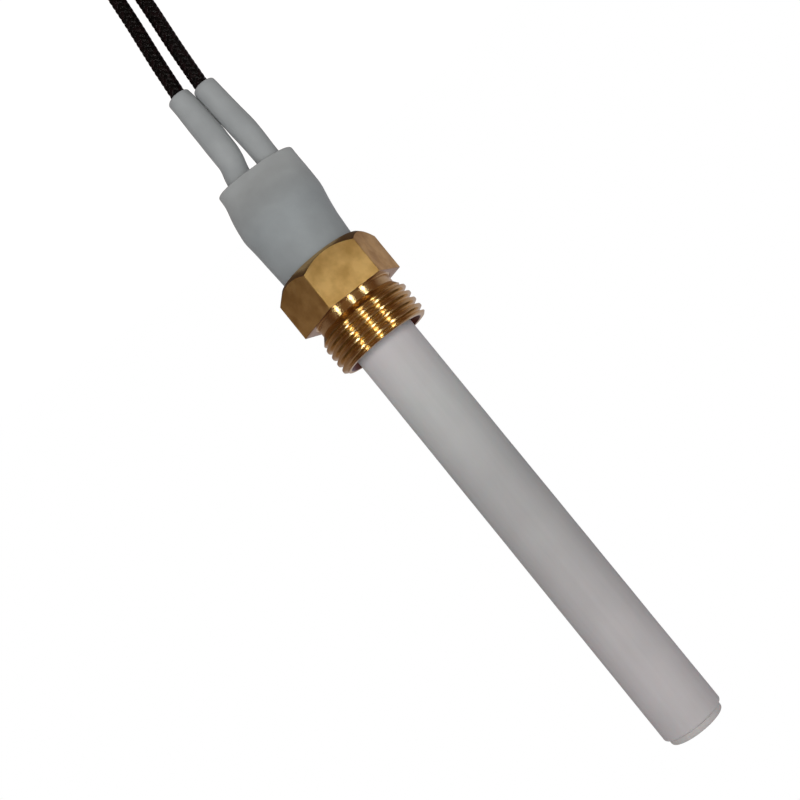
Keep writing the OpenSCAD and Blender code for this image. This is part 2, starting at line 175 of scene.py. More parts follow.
class Paint:
    """A node material with short calls for the nodes that it needs."""

    def __init__(self, name, **values):
        self.material = bpy.data.materials.new(name)
        self.material.use_nodes = True
        self.tree = self.material.node_tree
        self.surface = self.tree.nodes["Principled BSDF"]
        self.place = self.add("ShaderNodeTexCoord").outputs["Object"]
        for key, value in values.items():
            self.set(self.surface, key.replace("_", " "), value)

    def set(self, node, key, value):
        if isinstance(value, bpy.types.NodeSocket):
            self.tree.links.new(value, node.inputs[key])
        else:
            node.inputs[key].default_value = value

    def add(self, kind, inputs=None, **properties):
        node = self.tree.nodes.new(kind)
        for key, value in properties.items():
            setattr(node, key, value)
        for key, value in (inputs or {}).items():
            self.set(node, key, value)
        return node

    def math(self, operation, a, b=0.0):
        return self.add("ShaderNodeMath", {0: a, 1: b}, operation=operation).outputs[0]

    def above(self, value, limit):
        return self.math("GREATER_THAN", value, limit)

    def under(self, value, limit):
        return self.math("LESS_THAN", value, limit)

    def all_of(self, *tests):
        """1 where every one of these tests is 1, and 0 elsewhere."""
        result = tests[0]
        for test in tests[1:]:
            result = self.math("MULTIPLY", result, test)
        return result

    def axes(self, vector):
        """The X, Y and Z of a vector."""
        return self.add("ShaderNodeSeparateXYZ", {"Vector": vector}).outputs

    def stretched(self, x, y, z):
        """The place on the object, in millimetres, scaled along each axis."""
        scale = (x / MM, y / MM, z / MM)
        return self.add("ShaderNodeMapping", {"Vector": self.place, "Scale": scale}).outputs[0]

    def noise(self, scale, detail=3.0, vector=None, roughness=0.5):
        """Noise with this many features in a millimetre."""
        vector = self.stretched(1, 1, 1) if vector is None else vector
        inputs = {"Vector": vector, "Scale": scale, "Detail": detail, "Roughness": roughness}
        return self.add("ShaderNodeTexNoise", inputs).outputs["Fac"]

    def attribute(self, name):
        return self.add("ShaderNodeAttribute", attribute_name=name).outputs["Fac"]

    def ramp(self, value, *stops):
        """Colours or grey levels along a value, from stops of (place, colour)."""
        node = self.add("ShaderNodeValToRGB", {"Fac": value})
        points = node.color_ramp.elements
        while len(points) < len(stops):
            points.new(0.5)
        for point, (at, colour) in zip(points, stops):
            point.position = at
            point.color = (*colour, 1) if isinstance(colour, tuple) else (colour, colour, colour, 1)
        return node.outputs["Color"]

    def mix(self, share, a, b, blend="MIX"):
        """Two colours mixed by a share. The node's colour sockets are inputs 6 and 7 and output 2."""
        node = self.add("ShaderNodeMix", data_type="RGBA", blend_type=blend)
        for index, value in ((0, share), (6, a), (7, b)):
            if isinstance(value, tuple):
                value = (*value, 1)
            self.set(node, index, value)
        return node.outputs[2]

    def toned(self, colour, *stops):
        """A colour multiplied by tones along the axis, which paint light and shade, from stops of (height in
        millimetres, tone).
        """
        low, high = stops[0][0], stops[-1][0]
        height = self.axes(self.stretched(1, 1, 1))["Z"]
        inputs = {"Value": height, "From Min": low, "From Max": high}
        share = self.add("ShaderNodeMapRange", inputs).outputs[0]
        painted_tones = self.ramp(share, *(((at - low) / (high - low), tone) for at, tone in stops))
        return self.mix(1.0, colour, painted_tones, "MULTIPLY")

    def bump(self, height, depth, below=None):
        """Bump of a depth in millimetres. The result may be given to another bump as below."""
        inputs = {"Height": height, "Distance": depth * MM, "Strength": 1.0}
        if below is not None:
            inputs["Normal"] = below
        return self.add("ShaderNodeBump", inputs).outputs[0]

    def finish(self, colour=None, roughness=None, normal=None):
        for key, value in (("Base Color", colour), ("Roughness", roughness), ("Normal", normal)):
            if value is not None:
                self.set(self.surface, key, value)
        return self.material


def brass():
    """Turned brass with rings round its axis, painted shade on the end faces that is darkest on the seat face,
    drawn and stained flats, and painted shade in the bore.
    """
    paint = Paint("brass", Metallic=1.0)
    x, y, z = paint.axes(paint.stretched(1, 1, 1))
    squares = paint.math("ADD", paint.math("MULTIPLY", x, x), paint.math("MULTIPLY", y, y))
    radius = paint.math("SQRT", squares)
    tilt = paint.axes(paint.add("ShaderNodeNewGeometry").outputs["Normal"])["Z"]
    steep = paint.math("ABSOLUTE", tilt)
    flats = paint.all_of(paint.under(steep, END_TILT), paint.above(radius, HEX_FACE_R), paint.under(z, 0.0))
    ends = paint.all_of(paint.above(steep, END_TILT), paint.above(radius, END_SHADE_R),
                        paint.under(z, END_SHADE_Z))
    bore = paint.all_of(paint.under(radius, BORE_SHADE_R), paint.above(z, BORE_SHADE_Z))

    turning = paint.noise(6.0, 2.0, paint.add("ShaderNodeCombineXYZ", {"X": radius, "Z": z}).outputs[0])
    drawing = paint.noise(9.0, 2.0, paint.stretched(1, 1, 0.06))
    stain = paint.noise(0.35, 4.0)
    cloud = paint.noise(1.6, 3.0)
    flat_colour = paint.ramp(stain, (0.36, (0.70, 0.43, 0.14)), (0.62, (0.93, 0.635, 0.24)))
    wall_colour = paint.ramp(cloud, (0.3, (0.80, 0.575, 0.26)), (0.7, (0.88, 0.67, 0.34)))
    # Painted shade on the end faces, set by the way they face: the rear chamfer, facing -Z, a little darker than
    # the turned walls, and the seat face, facing +Z, much darker
    end_shade_colour = paint.mix(paint.above(tilt, 0.0), (0.72, 0.47, 0.21), (0.46, 0.29, 0.13))
    colour = paint.mix(flats, paint.mix(ends, wall_colour, end_shade_colour), flat_colour)
    # Painted shade: the mouth's inner wall is darkened to stand for the shade in that recess
    colour = paint.mix(bore, colour, (0.14, 0.05, 0.03))
    flat_rough = paint.ramp(cloud, (0.3, 0.42), (0.7, 0.52))
    wall_rough = paint.ramp(turning, (0.3, 0.16), (0.7, 0.22))
    rough = paint.mix(flats, wall_rough, flat_rough)
    return paint.finish(colour, rough, paint.bump(paint.mix(flats, turning, drawing), 0.003))


def ceramic(name, dark, light, painted_tones=None):
    """Sintered alumina: matt, with a faint mottle and a fine grain, and perhaps painted light and shade along the
    axis.
    """
    paint = Paint(name, Subsurface_Weight=0.08, Subsurface_Scale=0.6 * MM)
    mottle = paint.noise(0.12, 4.0)
    grain = paint.noise(9.0, 2.0)
    streak = paint.noise(1.2, 2.0, paint.stretched(1, 1, 0.04))
    colour = paint.ramp(paint.mix(0.35, mottle, streak), (0.3, dark), (0.7, light))
    if painted_tones:
        colour = paint.toned(colour, *painted_tones)
    rough = paint.ramp(grain, (0.3, 0.55), (0.7, 0.7))
    return paint.finish(colour, rough, paint.bump(grain, 0.008, paint.bump(streak, 0.01)))


def rubber(name, dark, light, grain_depth=0.012, painted_tones=None):
    """Matt silicone rubber with a fine grain, slightly cloudy, and perhaps with painted light and shade along the
    axis.
    """
    paint = Paint(name, Sheen_Weight=0.12, Sheen_Roughness=0.5)
    cloud = paint.noise(0.25, 4.0)
    grain = paint.noise(7.0, 3.0)
    colour = paint.ramp(cloud, (0.3, dark), (0.7, light))
    if painted_tones:
        colour = paint.toned(colour, *painted_tones)
    rough = paint.ramp(grain, (0.3, 0.5), (0.7, 0.66))
    return paint.finish(colour, rough, paint.bump(grain, grain_depth, paint.bump(cloud, 0.08)))


def braid():
    """Lacquered glass yarn: near black, with brown and reddish yarns and fine fibres along each one."""
    paint = Paint("glass_braid", Specular_IOR_Level=0.25)
    across, yarn = paint.attribute("across"), paint.attribute("yarn")
    fibres = paint.add("ShaderNodeCombineXYZ", {
        "X": paint.math("MULTIPLY", across, 4.0), "Y": paint.attribute("along"), "Z": yarn}).outputs[0]
    fibre = paint.noise(1.5, 2.0, fibres)
    worn = paint.noise(2.2, 2.0)
    base = paint.ramp(yarn, (0.0, (0.001, 0.0007, 0.0007)), (0.6, (0.002, 0.001, 0.001)),
                      (1.0, (0.008, 0.0025, 0.003)))
    fleck = paint.math("MULTIPLY", paint.ramp(worn, (0.60, 0.0), (0.74, 1.0)),
                       paint.ramp(fibre, (0.4, 0.1), (0.7, 0.8)))
    colour = paint.mix(fleck, base, (0.06, 0.04, 0.04))
    rough = paint.ramp(fibre, (0.3, 0.26), (0.7, 0.38))
    return paint.finish(colour, rough, paint.bump(fibre, 0.03))


def metal(name, dark, light, rough=(0.25, 0.4)):
    """Drawn or plated metal with faint lines along the axis."""
    paint = Paint(name, Metallic=1.0)
    lines = paint.noise(6.0, 2.0, paint.stretched(1, 1, 0.1))
    colour = paint.ramp(paint.noise(0.8, 3.0), (0.3, dark), (0.7, light))
    return paint.finish(colour, paint.ramp(lines, (0.3, rough[0]), (0.7, rough[1])), paint.bump(lines, 0.004))


def mineral(name, dark, light, depth):
    """Cement or wire insulation with a coarse dull grain."""
    paint = Paint(name)
    grain = paint.noise(3.0, 4.0, roughness=0.65)
    colour = paint.ramp(grain, (0.3, dark), (0.7, light))
    return paint.finish(colour, paint.ramp(grain, (0.3, 0.75), (0.7, 0.95)), paint.bump(grain, depth))


# ---------------------------------------------------------------- sizes of fitting and core tube

# What the frame states comes from it. The rest are the CAD part's named values, except that the thread's
# turn and wear and the rounding of the edges follow the photograph.
THREAD_R = mounts["pipe_thread"]["dims"]["r_mm"]
FITTING_LOW, FITTING_HIGH = box_mm("fitting")
PITCH = 1.337
FIRST_CREST = 3.13
THREAD_FOOT = 0.9
FLANK = math.radians(27.5)
THREAD_ROUND, ROOT_ROUND, CREST_HALF = 0.1, 0.18, 0.13
HEX_FLAT_R = 8.5
HEX_CORNER_AT = 49.5
HEX_CORNER_ROUND = 0.22
HEX_REAR = -8.4
HEX_FACE_R = 8.0
SEAT_R, SEAT_H = 7.65, 0.1
GROOVE_R, GROOVE_W, RUNOUT = 7.2, 1.45, 1.55
END_FACE_R, MOUTH_R, MOUTH_DEPTH = 7.9, 7.0, 1.55
CAVITY_R, CAVITY_FLOOR = 6.4, -5.0
GUIDE_R, SPIGOT_R = 5.57, 6.15
CORE_BORE_R = 2.75


# ---------------------------------------------------------------- materials

# Where brass() changes its look: a face whose normal leans more than this along Z is an end face, the hexagon's
# end faces, which get painted shade, lie outside and below the second pair, and the bore's painted shade lies
# inside and above the third pair
END_TILT = 0.3
END_SHADE_R, END_SHADE_Z = SEAT_R - 0.1, 0.3
BORE_SHADE_R, BORE_SHADE_Z = MOUTH_R + 0.15, 5.0
BRASS = brass()

# Painted light and shade along the axis: the rod is painted palest at the fitting and greyest in its middle, and
# the boot is painted palest at its flat end
ROD_PAINTED_LIGHT = [(8, (1.0, 1.0, 1.0)), (20, (0.87, 0.92, 0.90)), (36, (0.74, 0.77, 0.76)),
             (50, (0.76, 0.78, 0.77)), (74, (0.87, 0.87, 0.87))]
BOOT_PAINTED_LIGHT = [(-24, (1.0, 1.0, 1.0)), (-17, (0.77, 0.80, 0.82))]
COVER = ceramic("cover_ceramic", (0.489, 0.453, 0.458), (0.546, 0.509, 0.514), ROD_PAINTED_LIGHT)
CORE = ceramic("core_ceramic", (0.42, 0.39, 0.38), (0.49, 0.46, 0.45))
CEMENT = mineral("cement", (0.36, 0.34, 0.31), (0.55, 0.52, 0.48), 0.12)
BOOT = rubber("boot_silicone", (0.326, 0.331, 0.330), (0.369, 0.376, 0.375), painted_tones=BOOT_PAINTED_LIGHT)
SLEEVE = rubber("sleeve_silicone", (0.304, 0.312, 0.315), (0.342, 0.350, 0.352))
FILLING = rubber("filling", (0.22, 0.225, 0.23), (0.29, 0.295, 0.30), 0.05)
BRAID = braid()
INSULATION = mineral("insulation", (0.55, 0.51, 0.43), (0.70, 0.66, 0.58), 0.02)
TIN = metal("tin_plate", (0.60, 0.61, 0.62), (0.74, 0.75, 0.76))
HIDDEN = {
    "tungsten": metal("tungsten", (0.16, 0.16, 0.18), (0.28, 0.28, 0.31), (0.5, 0.7)),
    "pad_metal": metal("pad_metal", (0.55, 0.55, 0.53), (0.68, 0.68, 0.65)),
    "braze_alloy": metal("braze_alloy", (0.62, 0.58, 0.44), (0.78, 0.73, 0.58)),
    "nickel": metal("nickel", (0.52, 0.51, 0.48), (0.66, 0.65, 0.61)),
    "tin_plate": TIN,
}


# ---------------------------------------------------------------- fitting

def thread_wall(along):
    """Radius of the worn thread, with blunt crests and round roots, at a distance along Z from a crest."""
    u = np.abs((along + PITCH / 2) % PITCH - PITCH / 2)
    corner = THREAD_ROUND * math.cos(FLANK)
    drop = THREAD_ROUND * (1 - math.sin(FLANK))
    past = np.maximum(u - CREST_HALF, 0)
    crest = THREAD_R - (THREAD_ROUND - np.sqrt(np.maximum(THREAD_ROUND ** 2 - past ** 2, 0)))
    flank = THREAD_R - drop - (past - corner) / math.tan(FLANK)
    valley = PITCH / 2 - u
    root_corner = ROOT_ROUND * math.cos(FLANK)
    root_drop = ROOT_ROUND * (1 - math.sin(FLANK))
    depth = drop + (PITCH / 2 - CREST_HALF - corner - root_corner) / math.tan(FLANK) + root_drop
    root = THREAD_R - depth + (ROOT_ROUND - np.sqrt(np.maximum(ROOT_ROUND ** 2 - valley ** 2, 0)))
    return np.where(past < corner, crest, np.where(valley < root_corner, root, flank))


def hexagon_wall(angle):
    """Radius of the hexagon's wall at an angle, with rounded corners."""
    off = abs((math.degrees(angle) - HEX_CORNER_AT + 30) % 60 - 30)
    cos_30 = math.cos(math.radians(30))
    centre = HEX_FLAT_R / cos_30 - HEX_CORNER_ROUND / cos_30
    tangent = math.degrees(math.atan2(HEX_CORNER_ROUND / 2, centre + HEX_CORNER_ROUND * cos_30))
    if off >= tangent:
        return HEX_FLAT_R / math.cos(math.radians(30 - off))
    turn = math.radians(off)
    return centre * math.cos(turn) + math.sqrt(HEX_CORNER_ROUND ** 2 - (centre * math.sin(turn)) ** 2)


def fitting_outline(angle, thread_rows):
    """Closed outline of the fitting at one angle, from its rear bore round the outside and in at its mouth."""
    wall = hexagon_wall(angle)
    rear, front = FITTING_LOW.z, FITTING_HIGH.z
    corners = [
        (GUIDE_R, rear, 0.15), (SPIGOT_R, rear, 0.2), (SPIGOT_R, HEX_REAR, 0.1),
        (HEX_FACE_R, HEX_REAR, 0.12), (wall, HEX_REAR + wall - HEX_FACE_R, 0.12), (wall, 0, 0.1),
        (SEAT_R, 0, 0.04), (SEAT_R, -SEAT_H, 0.03), (GROOVE_R, -SEAT_H, 0.12), (GROOVE_R, THREAD_FOOT, 0),
        (END_FACE_R, front, 0), (MOUTH_R, front, 0.06), (CAVITY_R, front - MOUTH_DEPTH, 0.3),
        (CAVITY_R, CAVITY_FLOOR, 0.1), (GUIDE_R, CAVITY_FLOOR, 0.1)]
    steps = 4
    outline = rounded(corners, steps)
    turn = corners.index((GROOVE_R, THREAD_FOOT, 0)) * (steps + 1)
    z = np.clip(thread_rows + PITCH * angle / math.tau, THREAD_FOOT, front)
    chamfer = front - (THREAD_R - END_FACE_R)
    envelope = np.interp(z, [GROOVE_W, GROOVE_W + RUNOUT, chamfer, front],
                         [GROOVE_R, THREAD_R, THREAD_R, END_FACE_R])
    helix = FIRST_CREST + PITCH * angle / math.tau
    radius = np.minimum(envelope, thread_wall(z - helix))
    radius = np.where(z <= GROOVE_W, GROOVE_R, radius)
    threaded = list(zip(radius, z))
    return outline[:turn + 1] + threaded + outline[turn + 2 * (steps + 1):]


def build_fitting():
    """One turned solid with a true right-hand helical thread. The last column closes on the first one."""
    coarse = np.radians(np.arange(0, 361, 2))
    near_corner = np.radians([-1.1, -0.8, -0.55, -0.3, 0.3, 0.55, 0.8, 1.1, 0])
    corners = np.radians(HEX_CORNER_AT % 60 + 60 * np.arange(6))
    fine = (corners[:, None] + near_corner).ravel()
    angles = np.unique(np.round(np.concatenate([coarse, fine]), 9))
    rows_per_pitch = 26
    row_gap = PITCH / rows_per_pitch
    rows = int((FITTING_HIGH.z - THREAD_FOOT + PITCH) / row_gap) + 2
    thread_rows = THREAD_FOOT - PITCH + row_gap * np.arange(rows)
    grid = []
    for angle in angles:
        outline = fitting_outline(angle, thread_rows)
        grid.append([(radius * math.cos(angle), radius * math.sin(angle), z) for radius, z in outline])
    grid = np.array(grid)
    made = piece("fitting_turned", grid, quads(*grid.shape[:2], closed=False), BRASS, sharp=32)
    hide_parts("fitting")
    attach(made, "probe")


# ---------------------------------------------------------------- ceramic and cement

def build_cover():
    """The wrapped cover layer, with soft ends and the shallow seam where the wrap meets, at the back."""
    low, high = box_mm("cover_layer")
    print_gap = 0.03
    outer, inner = high.x, box_mm("core_tube")[1].x + print_gap
    seam_at, seam_half, seam_depth = math.radians(-90), 0.35, 0.14
    near_seam = seam_at + np.linspace(-2, 2, 17) * seam_half / outer
    angles = np.unique(np.concatenate([np.radians(np.arange(-180, 180, 3)), near_seam]))
    end_margin, tip, tail = 0.6, 0.32, 0.15
    heights = np.linspace(low.z + end_margin, high.z - end_margin, 90)
    arc = np.radians(np.linspace(0, 90, 6))
    rear = [(outer - tail + tail * math.sin(a), low.z + tail - tail * math.cos(a)) for a in arc]
    front = [(outer - tip + tip * math.cos(a), high.z - tip + tip * math.sin(a)) for a in arc]
    profile = [(inner, low.z)] + rear + [(outer, z) for z in heights] + front + [(inner, high.z)]
    grid = turned(profile, angles)
    radius = np.hypot(grid[..., 0], grid[..., 1])
    off = (angles - seam_at) * outer / seam_half
    seam = seam_depth * np.exp(-off ** 4)
    near_bore, fade = 0.05, 0.3
    outside = np.clip((radius - inner - near_bore) / fade, 0, 1)
    shift = 1 - outside * (seam + wander(grid, size=6.0, amount=0.02, seed=11)) / radius
    grid[..., :2] *= shift[..., None]
    made = piece("cover_ceramic_layer", grid, quads(*grid.shape[:2]), COVER, sharp=60)
    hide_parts("cover_layer")
    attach(made, "probe")


def build_core():
    """The core tube, whose rounded end stands out of the cover layer at the hot tip."""
    low, high = box_mm("core_tube")
    outer = high.x
    profile = rounded([
        (CORE_BORE_R, low.z, 0.15), (outer, low.z, 0.3), (outer, 0, 0), (outer, high.z, 0.4),
        (CORE_BORE_R, high.z, 0.25), (CORE_BORE_R, 0, 0)], 5)
    grid = turned(profile, np.radians(np.arange(0, 360, 3)))
    made = piece("core_ceramic_tube", grid, quads(*grid.shape[:2]), CORE, sharp=60)
    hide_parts("core_tube")
    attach(made, "probe")


def build_cement():
    """Cement in the fitting's mouth: a dished, uneven ring that creeps up both walls."""
    low, high = box_mm("cement_ring")
    inner_gap, outer_gap = 0.04, 0.03
    inner, outer = box_mm("cover_layer")[1].x + inner_gap, CAVITY_R - outer_gap
    dish, unevenness = 0.35, 0.12
    across = np.linspace(0, 1, 9)
    top = [(inner + (outer - inner) * u, high.z - dish * math.sin(math.pi * u)) for u in across]
    grid = turned([(outer, low.z), (inner, low.z)] + top, np.radians(np.arange(0, 360, 2.5)))
    grid[2:, :, 2] += wander(grid[2:], size=0.9, amount=unevenness, seed=3) - unevenness / 2
    made = piece("cement_fill", grid, quads(*grid.shape[:2]), CEMENT, sharp=60)
    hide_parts("cement_ring")
    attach(made, "probe")


# ---------------------------------------------------------------- boot and small sleeves

# Boot sections: depth below the seat, left edge, right edge, half depth, squareness (2 is an ellipse)
BOOT_SECTIONS = [
    (8.42, -6.97, 6.93, 6.95, 2.0),
    (11.8, -7.13, 7.22, 7.15, 2.0),
    (15.5, -7.36, 7.66, 7.42, 2.0),
    (19.25, -7.58, 8.18, 7.35, 2.05),
    (22.5, -7.08, 8.24, 6.0, 2.2),
    (25.0, -6.46, 8.24, 4.6, 2.4),
    (26.6, -6.30, 8.26, 3.9, 2.5),
]
BOOT_FRONT, BOOT_REAR = BOOT_SECTIONS[0][0], BOOT_SECTIONS[-1][0]
BOOT_WALL = 0.62
BOOT_LIP = 0.25
# Slope of the rear rim, and the X at which the rim has the depth of the last section
RIM_SLANT, RIM_LEVEL_X = 0.066, 1


def boot_ring(depth, angles, inset=0.0):
    """One section of the boot, as points (x, y) at each angle."""
    left, right, half_y, power = (through(depth, BOOT_SECTIONS, k) for k in (1, 2, 3, 4))
    half_x = (right - left) / 2 - inset
    c, s = np.cos(angles), np.sin(angles)
    x = np.sign(c) * np.abs(c) ** (2 / power) * half_x
    y = np.sign(s) * np.abs(s) ** (2 / power) * (half_y - inset)
    return (left + right) / 2 + x, y


def boot_row(depth, x, y):
    """Points (x, y) at a depth, on a level plane at the boot's front and on a slanted one at its rear rim."""
    share = (depth - BOOT_FRONT) / (BOOT_REAR - BOOT_FRONT)
    return np.stack([x, y, -depth + share ** 4 * RIM_SLANT * (x - RIM_LEVEL_X)], -1)


def build_boot():
    """A shrunk rubber sleeve, swollen in its middle and squeezed flat at its slanted rear rim."""
    angles = np.linspace(0, math.tau, 160, endpoint=False)
    depths = np.linspace(BOOT_FRONT, BOOT_REAR, 72)
    rings = [boot_row(depth, *boot_ring(depth, angles)) for depth in depths]
    for turn in np.radians(np.linspace(18, 180, 9)):
        inset = BOOT_WALL / 2 * (1 - math.cos(turn))
        rim = boot_row(BOOT_REAR, *boot_ring(BOOT_REAR, angles, inset))
        rim[:, 2] -= BOOT_LIP * math.sin(turn)
        rings.append(rim)
    spigot_end, spigot_r = -FITTING_LOW.z + 0.1, SPIGOT_R + 0.02
    for depth in depths[::-1]:
        if depth > spigot_end:
            rings.append(boot_row(depth, *boot_ring(depth, angles, BOOT_WALL)))
        else:
            rings.append(boot_row(depth, spigot_r * np.cos(angles), spigot_r * np.sin(angles)))
    grid = np.array(rings)
    sway = wander(grid, size=5.0, amount=0.10, seed=5) + wander(grid, size=1.8, amount=0.025, seed=9)
    smooth_front, fade = 1.0, 4
    away = np.clip((-grid[..., 2] - BOOT_FRONT - smooth_front) / fade, 0, 1)
    middle = np.array([0.6, 0])
    out = grid[..., :2] - middle
    grid[..., :2] += out / np.linalg.norm(out, axis=-1, keepdims=True) * (sway * away)[..., None]
    made = piece("boot_rubber_sleeve", grid, quads(*grid.shape[:2]), BOOT, sharp=50)
    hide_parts("boot_sleeve")
    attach(made, "probe")


# Small sleeves' sections: depth below the seat, centre across the axis, width
SLEEVE_SECTIONS = {
    "a": [(23.6, -1.95, 4.30), (26.6, -1.85, 4.42), (28.6, -1.50, 4.46), (29.9, -1.17, 4.40),
          (31.0, -0.93, 4.54), (32.2, -0.83, 4.72), (35.0, -0.79, 4.80), (36.9, -0.75, 4.82),
          (39.0, -0.81, 4.70), (41.1, -0.84, 4.56), (43.1, -0.87, 4.42), (44.2, -0.96, 4.30),
          (45.0, -1.00, 4.20)],
    "b": [(23.6, 4.22, 4.14), (26.6, 4.21, 4.16), (28.7, 4.20, 4.22), (31.8, 4.20, 4.42),
          (33.8, 4.12, 4.54), (36.9, 3.89, 4.44), (39.0, 3.74, 4.38), (41.1, 3.61, 4.32),
          (43.1, 3.48, 4.27), (43.8, 3.46, 4.15)],
}
SLEEVE_SEEDS = {"a": 21, "b": 31}
SLEEVE_BORE_R = 1.68
SLEEVE_LIP = 0.25
MOUTH_FLARE, FLARE_LEN = 0.1, 0.4
CRIMP_TOP, CRIMP_LOW, CRIMP_BULGE = 33.8, 41.4, 0.17


def build_small_sleeve(side):
    """A shrunk sleeve over a lead's joint, with a soft lip at its mouth."""
    sections = SLEEVE_SECTIONS[side]
    start, mouth = sections[0][0], sections[-1][0]
    angles = np.linspace(0, math.tau, 72, endpoint=False)
    outer = [(depth, 0.0) for depth in np.linspace(start, mouth - SLEEVE_LIP, 70)]
    for turn in np.radians(np.linspace(15, 90, 6)):
        outer.append((mouth - SLEEVE_LIP + SLEEVE_LIP * math.sin(turn), SLEEVE_LIP * (1 - math.cos(turn))))
    rings = [(depth, through(depth, sections, 2) / 2 - inset) for depth, inset in outer]
    for depth in np.linspace(mouth - 0.02, start, 60):
        over_crimp = CRIMP_BULGE if CRIMP_TOP < depth < CRIMP_LOW else 0
        flare = MOUTH_FLARE * max(0, 1 - (mouth - depth) / FLARE_LEN)
        rings.append((depth, SLEEVE_BORE_R + over_crimp + flare))
    grid = []
    step = 0.05
    for depth, radius in rings:
        slope = (through(depth + step, sections, 1) - through(depth - step, sections, 1)) / (2 * step)
        lean = math.atan(slope)
        out = radius * np.cos(angles)
        x = through(depth, sections, 1) + out * math.cos(lean)
        grid.append(np.stack([x, radius * np.sin(angles), -depth + out * math.sin(lean)], -1))
    grid = np.array(grid)
    grid[:len(outer), :, 1] *= 1 + wander(grid[:len(outer)], size=2.2, amount=0.05, seed=SLEEVE_SEEDS[side])
    made = piece(f"small_sleeve_{side}_rubber", grid, quads(*grid.shape[:2]), SLEEVE, sharp=50)
    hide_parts(f"small_sleeve_{side}")
    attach(made, "probe")


def filling_ring(depth, share, angles):
    """Points (x, y) of a ring on the filling at a depth, a share of the way from its middle to its edge."""
    middle_x, gap = 0.9, 0.12
    x, y = boot_ring(depth, angles, BOOT_WALL + gap)
    return middle_x + (x - middle_x) * share, y * share


def filling_rise(x, y, depth):
    """How far the filling is drawn up the small sleeves at the points (x, y)."""
    height, reach = 0.35, 0.35
    rise = np.zeros_like(x)
    for sections in SLEEVE_SECTIONS.values():
        gap = np.hypot(x - through(depth, sections, 1), y) - through(depth, sections, 2) / 2
        rise += height * np.exp(-np.clip(gap, 0, None) / reach)
    return np.minimum(rise, 0.5)


def build_filling():
    """The plug that closes the boot's rear end: an uneven pillow, drawn up round the two small sleeves."""
    angles = np.linspace(0, math.tau, 120, endpoint=False)
    inner_face, outer_face = BOOT_REAR - 2.4, BOOT_REAR - 0.85
    hollow = 0.25
    rings = []
    for share in (0.02, 0.5, 1.0):
        x, y = filling_ring(inner_face, share, angles)
        rings.append(np.stack([x, y, np.full_like(x, -inner_face)], -1))
    flat_rings = len(rings)
    for share in np.linspace(1, 0.02, 26):
        x, y = filling_ring(outer_face, share, angles)
        z = -outer_face - filling_rise(x, y, outer_face) + hollow * (1 - share)
        rings.append(np.stack([x, y, z], -1))
    grid = np.array(rings)
    grid[flat_rings:, :, 2] += wander(grid[flat_rings:], size=0.8, amount=0.10, seed=17)
    rows, columns = grid.shape[:2]
    faces = quads(rows, columns, closed=False) + caps(rows, columns)
    made = piece("rear_filling_plug", grid, faces, FILLING, sharp=60)
    middle_depth, clearance = BOOT_REAR - 1.5, 0.03
    for side, sections in SLEEVE_SECTIONS.items():
        x, width = through(middle_depth, sections, 1), through(middle_depth, sections, 2)
        cut_hole(made, f"cutter_{side}", x, width / 2 + clearance, -BOOT_REAR - 2, -BOOT_REAR + 6)
    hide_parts("rear_filling")
    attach(made, "probe")


# ---------------------------------------------------------------- leads

# Each lead goes straight down to BEND_Z, leans out in a bend, runs straight past its joint, turns back in
# a long curve and ends straight. These are the CAD part's values.
LEAD_R = 1.3
BEND_Z, BEND_R = -43.0, 15.0
RUN_FIRST, CURVE_LEN, RUN_LAST = 15.0, 36.0, 12.0
LEADS = {"a": {"lean": 5.6, "curve": 22.0}, "b": {"lean": 4.4, "curve": 12.0}}

# In the photograph the leads come out a little aside of that line. They ease back between two depths.
LEAD_ASIDE = -0.23
ASIDE_TO, BACK_AT = 50, 62

CARRIERS = 8
BRAID_PITCH = 7.76
YARN_RISE, YARN_THICK, YARN_ROUNDNESS = 0.055, 0.13, 0.97
BRAID_WALL = 0.3
INSULATION_GAP, INSULATION_BORE_R = 0.03, 0.52
STRANDS, STRAND_LAY = 9, 9.0
BUNDLE_R, STRAND_H = 0.37, 0.075
CONDUCTOR_PAST_BRAID = 9.6


class Line:
    """A centre line in the XZ plane that starts downwards. Each step is a length and a turn towards +X."""

    def __init__(self, x, z, steps, aside=0.0, ease=(0.0, 1.0)):
        """The line may start a little aside, towards +X, and ease back to its steps between two lengths."""
        self.aside, self.ease = aside, ease
        self.parts = []
        start, heading = 0.0, 0.0
        for length, turn in steps:
            turn = math.radians(turn)
            self.parts.append((start, x, z, heading, turn / length))
            (x,), (z,), (heading,) = self._along(self.parts[-1], np.array([start + length]))
            start += length
        self.length = start

    def _along(self, part, s):
        start, x, z, heading, bend = part
        d = s - start
        if abs(bend) < 1e-9:
            return x + d * math.sin(heading), z - d * math.cos(heading), heading + 0 * d
        after = heading + bend * d
        return (x + (math.cos(heading) - np.cos(after)) / bend,
                z - (np.sin(after) - math.sin(heading)) / bend, after)

    def at(self, s):
        """Place (x, z) and heading at each length s, straight on beyond both ends."""
        s = np.asarray(s, float)
        x, z, heading = (np.array(v, float) for v in self._along(self.parts[0], s))
        for part in self.parts[1:]:
            later = s >= part[0]
            x[later], z[later], heading[later] = self._along(part, s[later])
        span = self.ease[1] - self.ease[0]
        u = np.clip((s - self.ease[0]) / span, 0, 1)
        x = x + self.aside * (1 - u * u * (3 - 2 * u))
        return x, z, heading - self.aside * 6 * u * (1 - u) / span

    def sweep(self, s, radius, angles):
        """Grid of points round the line: one row for each s, with a radius for each row or each point."""
        x, z, heading = (v[:, None] for v in self.at(s))
        radius = radius if np.ndim(radius) == 2 else np.asarray(radius, float)[:, None]
        out, side = radius * np.cos(angles), radius * np.sin(angles)
        return np.stack([x + out * np.cos(heading), side, z + out * np.sin(heading)], -1)


